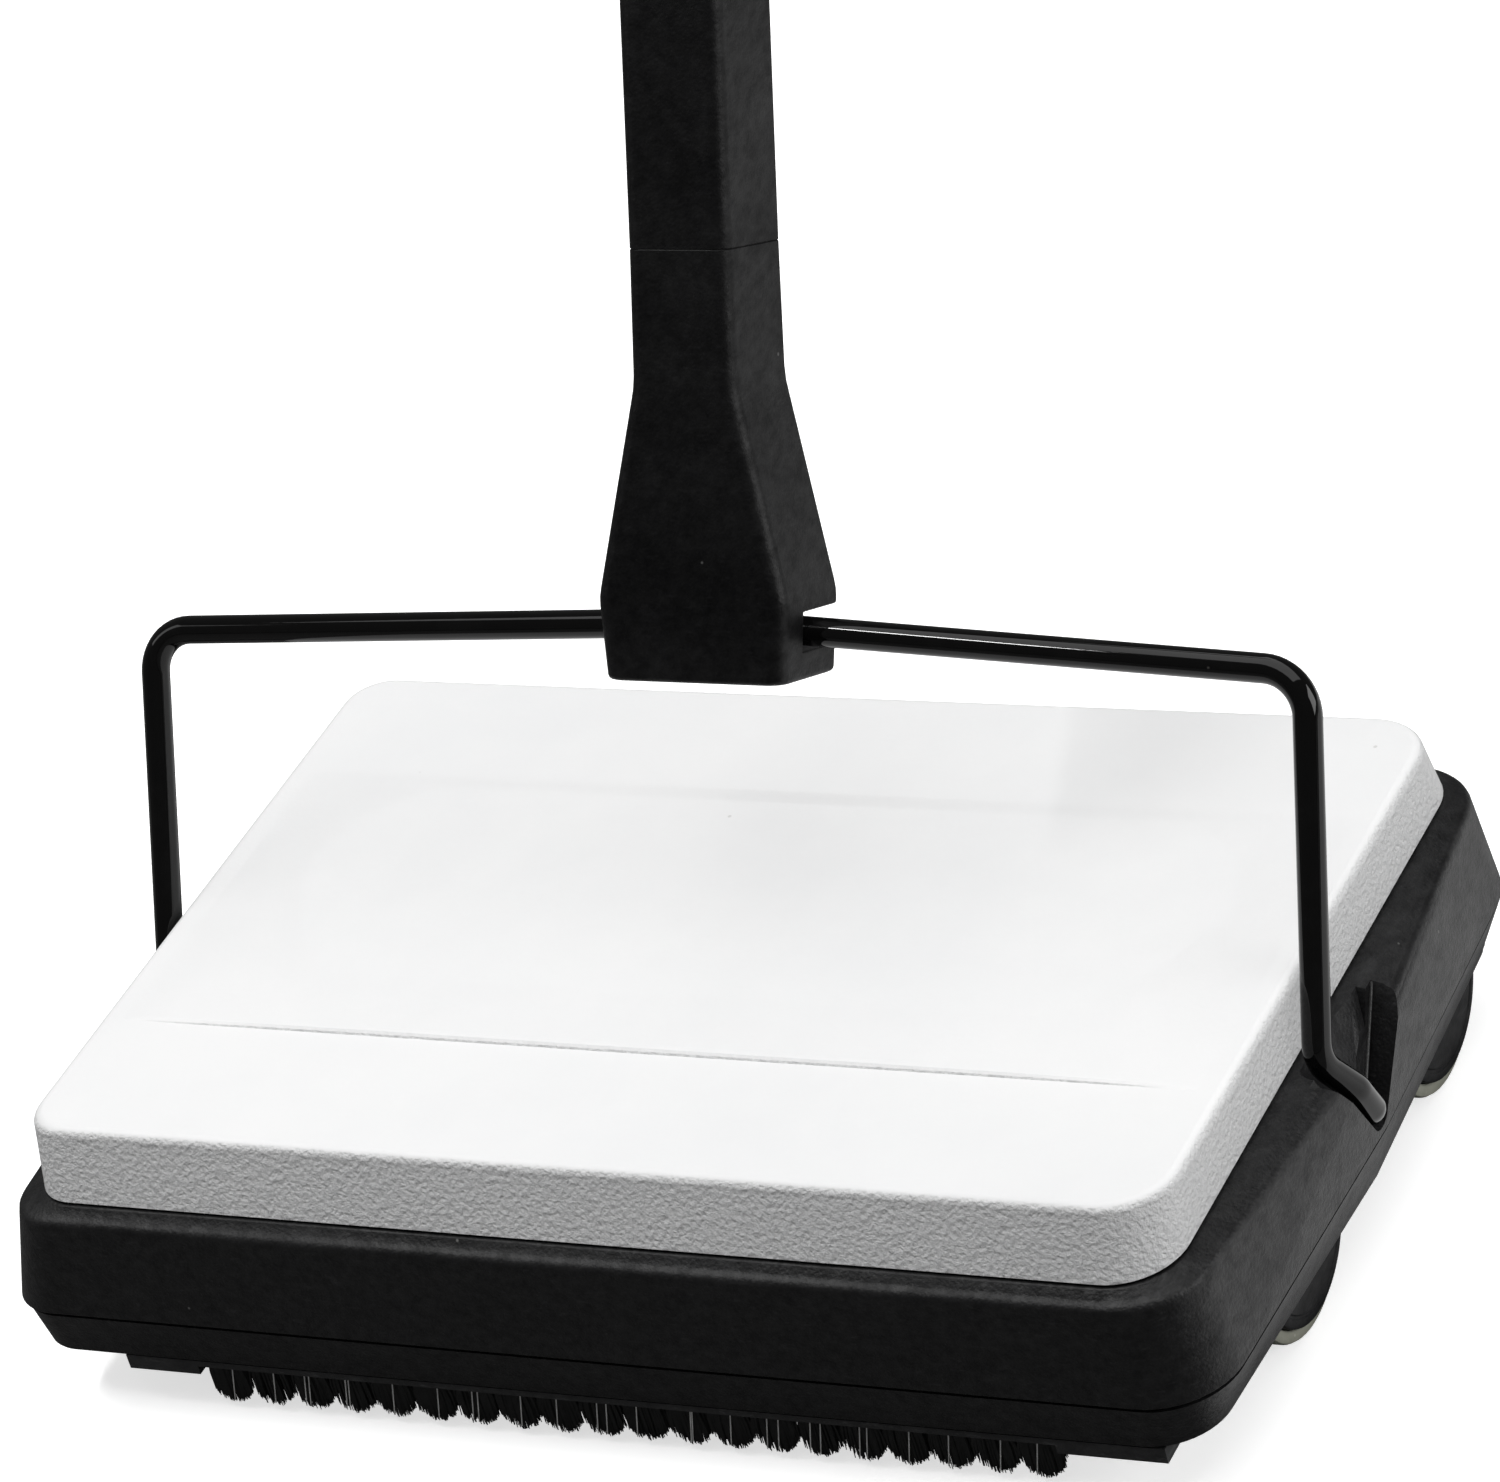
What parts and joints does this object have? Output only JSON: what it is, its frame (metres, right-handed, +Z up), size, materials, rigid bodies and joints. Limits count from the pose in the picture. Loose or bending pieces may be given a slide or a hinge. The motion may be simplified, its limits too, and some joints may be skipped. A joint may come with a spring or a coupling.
{
  "type": "carpet sweeper",
  "caption": "Manual push sweeper: low wheeled head with a flat white lid, brush roll, two tipping dust pans and edge bristles, and a long square handle on a pivoting wire bail.",
  "frame": {"origin": "on the floor, under the middle of the whole sweeper's bounding box", "axes": "+Z up, -Y towards the front of the head, +Y the way the handle leans, X along the wheel and brush axles"},
  "size_m": [0.3004, 0.5696, 1.0033],
  "materials": {
    "black_plastic": "moulded, fine satin grain",
    "pan_plastic": "moulded, satin",
    "white_plastic": "moulded, fine pebble grain",
    "hub_plastic": "smooth satin",
    "grey_plastic": "satin",
    "bush_plastic": "satin",
    "rail_plastic": "satin",
    "painted_wire": "gloss black coating",
    "steel": "plain zinc plated",
    "tyre_rubber": "matte",
    "drive_rubber": "matte",
    "grip_rubber": "soft matte",
    "bristle": "nylon filament"
  },
  "bodies": {
    "head": {"base_housing": "black_plastic", "brush_bush_left": "bush_plastic", "brush_bush_right": "bush_plastic", "front_bristle_rail": "rail_plastic", "front_edge_bristles": "bristle", "front_pan_pin_left": "steel", "front_pan_pin_right": "steel", "front_pan_spring": "steel", "lid_cover": "white_plastic", "lid_screw_front_left": "steel", "lid_screw_front_right": "steel", "lid_screw_rear_left": "steel", "lid_screw_rear_right": "steel", "rear_bristle_rail": "rail_plastic", "rear_edge_bristles": "bristle", "rear_pan_pin_left": "steel", "rear_pan_pin_right": "steel", "rear_pan_spring": "steel", "wheel_axle_front_left": "steel", "wheel_axle_front_right": "steel", "wheel_axle_rear_left": "steel", "wheel_axle_rear_right": "steel"},
    "brush_roll": {"brush_shaft": "steel", "brush_core": "grey_plastic", "brush_bristles": "bristle", "drive_ring_left": "drive_rubber", "drive_ring_right": "drive_rubber"},
    "front_pan": {"front_dust_pan": "pan_plastic"},
    "rear_pan": {"rear_dust_pan": "pan_plastic"},
    "handle_assembly": {"bail_wire": "painted_wire", "handle_coupling_lower": "grey_plastic", "handle_coupling_middle": "grey_plastic", "handle_coupling_upper": "grey_plastic", "handle_end_cap": "black_plastic", "handle_grip": "grip_rubber", "handle_tube_lower": "black_plastic", "handle_tube_middle": "black_plastic", "handle_tube_upper": "black_plastic", "handle_yoke": "black_plastic", "yoke_back_plate": "black_plastic", "yoke_screw_lower": "steel", "yoke_screw_upper": "steel"},
    "wheel_front_left": {"tyre_front_left": "tyre_rubber", "wheel_hub_front_left": "hub_plastic"},
    "wheel_front_right": {"tyre_front_right": "tyre_rubber", "wheel_hub_front_right": "hub_plastic"},
    "wheel_rear_left": {"tyre_rear_left": "tyre_rubber", "wheel_hub_rear_left": "hub_plastic"},
    "wheel_rear_right": {"tyre_rear_right": "tyre_rubber", "wheel_hub_rear_right": "hub_plastic"}
  },
  "joints": [
    {"name": "bail_pivot", "type": "hinge", "parent": "head", "child": "handle_assembly", "pos_m": [0, -0.19224, 0.0355], "axis": [1, 0, 0], "range_deg": [-40, 2]},
    {"name": "brush_spin", "type": "hinge", "parent": "head", "child": "brush_roll", "pos_m": [0, -0.17674, 0.0255], "axis": [1, 0, 0], "continuous": true},
    {"name": "wheel_spin_front_left", "type": "hinge", "parent": "head", "child": "wheel_front_left", "pos_m": [0, -0.21874, 0.0245], "axis": [1, 0, 0], "continuous": true},
    {"name": "wheel_spin_front_right", "type": "hinge", "parent": "head", "child": "wheel_front_right", "pos_m": [0, -0.21874, 0.0245], "axis": [1, 0, 0], "continuous": true},
    {"name": "wheel_spin_rear_left", "type": "hinge", "parent": "head", "child": "wheel_rear_left", "pos_m": [0, -0.13474, 0.0245], "axis": [1, 0, 0], "continuous": true},
    {"name": "wheel_spin_rear_right", "type": "hinge", "parent": "head", "child": "wheel_rear_right", "pos_m": [0, -0.13474, 0.0245], "axis": [1, 0, 0], "continuous": true},
    {"name": "front_pan_hinge", "type": "hinge", "parent": "head", "child": "front_pan", "pos_m": [0, -0.26574, 0.022], "axis": [-1, 0, 0], "range_deg": [0, 32], "stiffness_Nm_per_rad": 0.05, "springref_deg": -57.3},
    {"name": "rear_pan_hinge", "type": "hinge", "parent": "head", "child": "rear_pan", "pos_m": [0, -0.11274, 0.022], "axis": [1, 0, 0], "range_deg": [0, 32], "stiffness_Nm_per_rad": 0.05, "springref_deg": -57.3}
  ],
  "couplings": [
    {"joint": "wheel_spin_front_left", "follows": "brush_spin", "ratio": -0.70253},
    {"joint": "wheel_spin_front_right", "follows": "brush_spin", "ratio": -0.70253},
    {"joint": "wheel_spin_rear_left", "follows": "brush_spin", "ratio": -0.70253},
    {"joint": "wheel_spin_rear_right", "follows": "brush_spin", "ratio": -0.70253}
  ]
}
